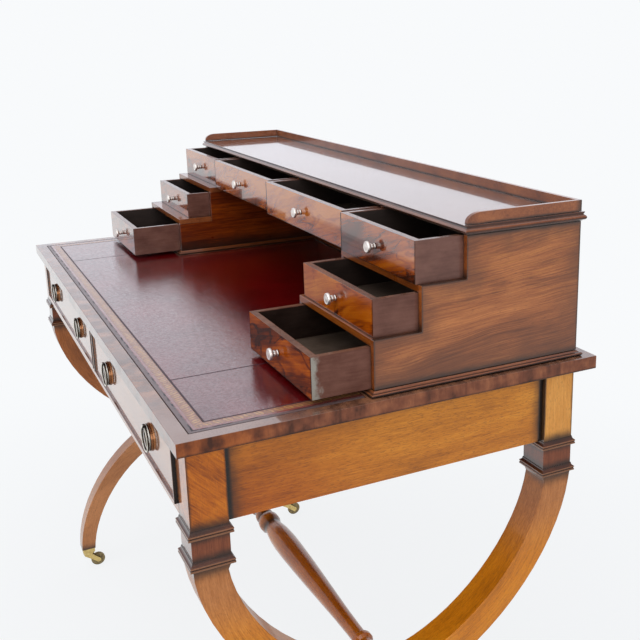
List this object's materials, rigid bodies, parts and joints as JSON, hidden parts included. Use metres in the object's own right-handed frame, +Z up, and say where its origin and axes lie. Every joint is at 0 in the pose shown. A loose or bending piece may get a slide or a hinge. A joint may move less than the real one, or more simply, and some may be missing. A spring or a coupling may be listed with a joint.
{
  "type": "bonheur du jour",
  "caption": "Small writing desk with a leather top, frieze drawers with ring pulls and a stepped drawer superstructure on curule end supports with castors.",
  "frame": {"origin": "on the floor under the middle of the desk top", "axes": "+X along the desk to the right of the person who sits at it, -Y towards that person, +Z up"},
  "size_m": [1.14, 0.582, 0.9848],
  "materials": {
    "mahogany_top": "gloss polish",
    "mahogany_frame": "gloss polish",
    "mahogany_case": "gloss polish",
    "mahogany_drawer": "gloss polish",
    "oxblood_leather": "waxed, gold tooled border",
    "pale_brass": "polished",
    "antique_brass": "aged"
  },
  "bodies": {
    "desk": {"bank_inner_side_left": "mahogany_case", "bank_inner_side_right": "mahogany_case", "bank_outer_side_left": "mahogany_case", "bank_outer_side_right": "mahogany_case", "castor_cup_front_left": "antique_brass", "castor_cup_front_right": "antique_brass", "castor_cup_rear_left": "antique_brass", "castor_cup_rear_right": "antique_brass", "desk_top": "mahogany_top", "end_support_lower_left": "mahogany_frame", "end_support_lower_right": "mahogany_frame", "end_support_upper_left": "mahogany_frame", "end_support_upper_right": "mahogany_frame", "frieze_back": "mahogany_frame", "frieze_end_left": "mahogany_frame", "frieze_end_right": "mahogany_frame", "frieze_front_frame": "mahogany_frame", "gallery": "mahogany_case", "leather_panel": "oxblood_leather", "ledge_left": "mahogany_case", "ledge_right": "mahogany_case", "shelf_top": "mahogany_case", "stretcher": "mahogany_frame", "superstructure_back": "mahogany_case", "superstructure_base": "mahogany_case", "top_tier_shelf": "mahogany_case"},
    "drawer_bottom_left": {"drawer_bottom_left": "mahogany_drawer", "knob_bottom_left": "pale_brass"},
    "drawer_bottom_right": {"drawer_bottom_right": "mahogany_drawer", "knob_bottom_right": "pale_brass"},
    "drawer_middle_left": {"drawer_middle_left": "mahogany_drawer", "knob_middle_left": "pale_brass"},
    "drawer_middle_right": {"drawer_middle_right": "mahogany_drawer", "knob_middle_right": "pale_brass"},
    "drawer_top_left": {"drawer_top_left": "mahogany_drawer", "knob_top_left": "pale_brass"},
    "drawer_top_centre_left": {"drawer_top_centre_left": "mahogany_drawer", "knob_top_centre_left": "pale_brass"},
    "drawer_top_centre_right": {"drawer_top_centre_right": "mahogany_drawer", "knob_top_centre_right": "pale_brass"},
    "drawer_top_right": {"drawer_top_right": "mahogany_drawer", "knob_top_right": "pale_brass"},
    "frieze_drawer_left": {"frieze_drawer_left": "mahogany_drawer", "handle_plate_left_outer": "antique_brass", "handle_plate_left_inner": "antique_brass"},
    "frieze_drawer_right": {"frieze_drawer_right": "mahogany_drawer", "handle_plate_right_outer": "antique_brass", "handle_plate_right_inner": "antique_brass"},
    "handle_ring_left_outer": {"handle_ring_left_outer": "antique_brass"},
    "handle_ring_left_inner": {"handle_ring_left_inner": "antique_brass"},
    "handle_ring_right_outer": {"handle_ring_right_outer": "antique_brass"},
    "handle_ring_right_inner": {"handle_ring_right_inner": "antique_brass"},
    "castor_fork_front_left": {"castor_fork_front_left": "antique_brass"},
    "castor_wheel_front_left": {"castor_wheel_front_left": "antique_brass"},
    "castor_fork_front_right": {"castor_fork_front_right": "antique_brass"},
    "castor_wheel_front_right": {"castor_wheel_front_right": "antique_brass"},
    "castor_fork_rear_left": {"castor_fork_rear_left": "antique_brass"},
    "castor_wheel_rear_left": {"castor_wheel_rear_left": "antique_brass"},
    "castor_fork_rear_right": {"castor_fork_rear_right": "antique_brass"},
    "castor_wheel_rear_right": {"castor_wheel_rear_right": "antique_brass"}
  },
  "joints": [
    {"name": "drawer_bottom_left_slide", "type": "slide", "parent": "desk", "child": "drawer_bottom_left", "axis": [0, -1, 0], "range_m": [-0.092, 0.108]},
    {"name": "drawer_bottom_right_slide", "type": "slide", "parent": "desk", "child": "drawer_bottom_right", "axis": [0, -1, 0], "range_m": [-0.079, 0.121]},
    {"name": "drawer_middle_left_slide", "type": "slide", "parent": "desk", "child": "drawer_middle_left", "axis": [0, -1, 0], "range_m": [-0.046, 0.114]},
    {"name": "drawer_middle_right_slide", "type": "slide", "parent": "desk", "child": "drawer_middle_right", "axis": [0, -1, 0], "range_m": [-0.063, 0.097]},
    {"name": "drawer_top_left_slide", "type": "slide", "parent": "desk", "child": "drawer_top_left", "axis": [0, -1, 0], "range_m": [-0.048, 0.072]},
    {"name": "drawer_top_centre_left_slide", "type": "slide", "parent": "desk", "child": "drawer_top_centre_left", "axis": [0, -1, 0], "range_m": [-0.053, 0.067]},
    {"name": "drawer_top_centre_right_slide", "type": "slide", "parent": "desk", "child": "drawer_top_centre_right", "axis": [0, -1, 0], "range_m": [-0.062, 0.058]},
    {"name": "drawer_top_right_slide", "type": "slide", "parent": "desk", "child": "drawer_top_right", "axis": [0, -1, 0], "range_m": [-0.069, 0.051]},
    {"name": "frieze_drawer_left_slide", "type": "slide", "parent": "desk", "child": "frieze_drawer_left", "axis": [0, -1, 0], "range_m": [0, 0.3]},
    {"name": "frieze_drawer_right_slide", "type": "slide", "parent": "desk", "child": "frieze_drawer_right", "axis": [0, -1, 0], "range_m": [-0.0015, 0.2985]},
    {"name": "handle_ring_left_outer_swing", "type": "hinge", "parent": "frieze_drawer_left", "child": "handle_ring_left_outer", "pos_m": [-0.39135, -0.286, 0.7207], "axis": [-1, 0, 0], "range_deg": [0, 85]},
    {"name": "handle_ring_left_inner_swing", "type": "hinge", "parent": "frieze_drawer_left", "child": "handle_ring_left_inner", "pos_m": [-0.12935, -0.286, 0.7207], "axis": [-1, 0, 0], "range_deg": [0, 85]},
    {"name": "handle_ring_right_outer_swing", "type": "hinge", "parent": "frieze_drawer_right", "child": "handle_ring_right_outer", "pos_m": [0.39135, -0.2875, 0.7207], "axis": [-1, 0, 0], "range_deg": [0, 85]},
    {"name": "handle_ring_right_inner_swing", "type": "hinge", "parent": "frieze_drawer_right", "child": "handle_ring_right_inner", "pos_m": [0.12935, -0.2875, 0.7207], "axis": [-1, 0, 0], "range_deg": [0, 85]},
    {"name": "castor_front_left_swivel", "type": "hinge", "parent": "desk", "child": "castor_fork_front_left", "pos_m": [-0.53505, -0.25565, 0.0325], "axis": [0, 0, 1], "continuous": true},
    {"name": "castor_front_left_roll", "type": "hinge", "parent": "castor_fork_front_left", "child": "castor_wheel_front_left", "pos_m": [-0.53505, -0.23565, 0.0155], "axis": [1, 0, 0], "continuous": true},
    {"name": "castor_front_right_swivel", "type": "hinge", "parent": "desk", "child": "castor_fork_front_right", "pos_m": [0.53505, -0.25565, 0.0325], "axis": [0, 0, 1], "continuous": true},
    {"name": "castor_front_right_roll", "type": "hinge", "parent": "castor_fork_front_right", "child": "castor_wheel_front_right", "pos_m": [0.53505, -0.23565, 0.0155], "axis": [1, 0, 0], "continuous": true},
    {"name": "castor_rear_left_swivel", "type": "hinge", "parent": "desk", "child": "castor_fork_rear_left", "pos_m": [-0.53505, 0.23845, 0.0325], "axis": [0, 0, 1], "continuous": true},
    {"name": "castor_rear_left_roll", "type": "hinge", "parent": "castor_fork_rear_left", "child": "castor_wheel_rear_left", "pos_m": [-0.53505, 0.25845, 0.0155], "axis": [1, 0, 0], "continuous": true},
    {"name": "castor_rear_right_swivel", "type": "hinge", "parent": "desk", "child": "castor_fork_rear_right", "pos_m": [0.53505, 0.23845, 0.0325], "axis": [0, 0, 1], "continuous": true},
    {"name": "castor_rear_right_roll", "type": "hinge", "parent": "castor_fork_rear_right", "child": "castor_wheel_rear_right", "pos_m": [0.53505, 0.25845, 0.0155], "axis": [1, 0, 0], "continuous": true}
  ]
}
